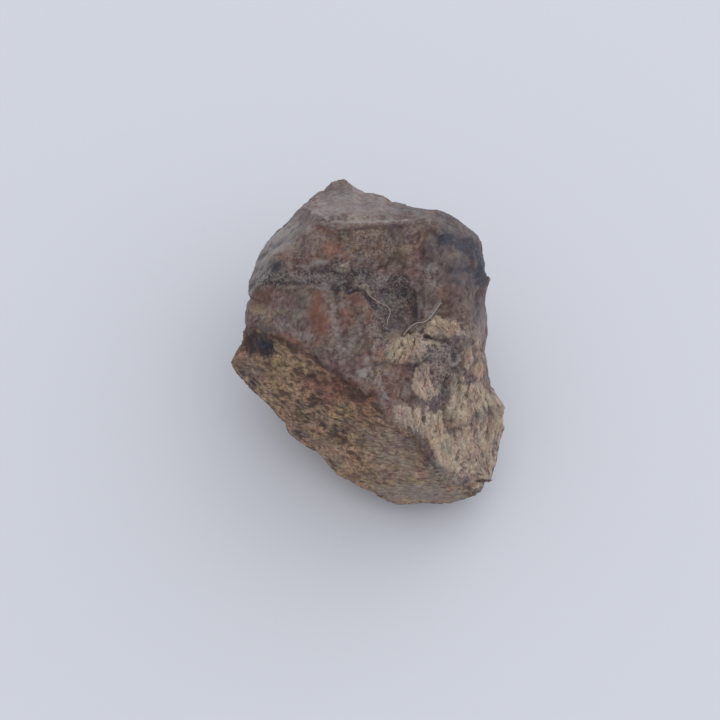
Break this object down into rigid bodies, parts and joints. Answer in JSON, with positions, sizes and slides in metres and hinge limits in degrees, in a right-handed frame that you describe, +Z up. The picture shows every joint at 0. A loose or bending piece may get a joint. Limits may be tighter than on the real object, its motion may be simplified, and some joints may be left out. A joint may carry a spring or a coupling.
{
  "type": "meteorite",
  "caption": "Weathered stony meteorite, one broken stone with a ledge, a pit, a waist and a flat broken wall, resting on a small flat spot.",
  "frame": {"origin": "on the ground, in the middle of the stone's outline along X and Y", "axes": "+Z up as it rests, +Y along the stone towards its beak, -Y the side of the broken wall"},
  "size_m": [0.0526, 0.0614, 0.0437],
  "materials": {
    "stone": "satin"
  },
  "bodies": {
    "root": {"meteorite": "stone"}
  },
  "joints": []
}
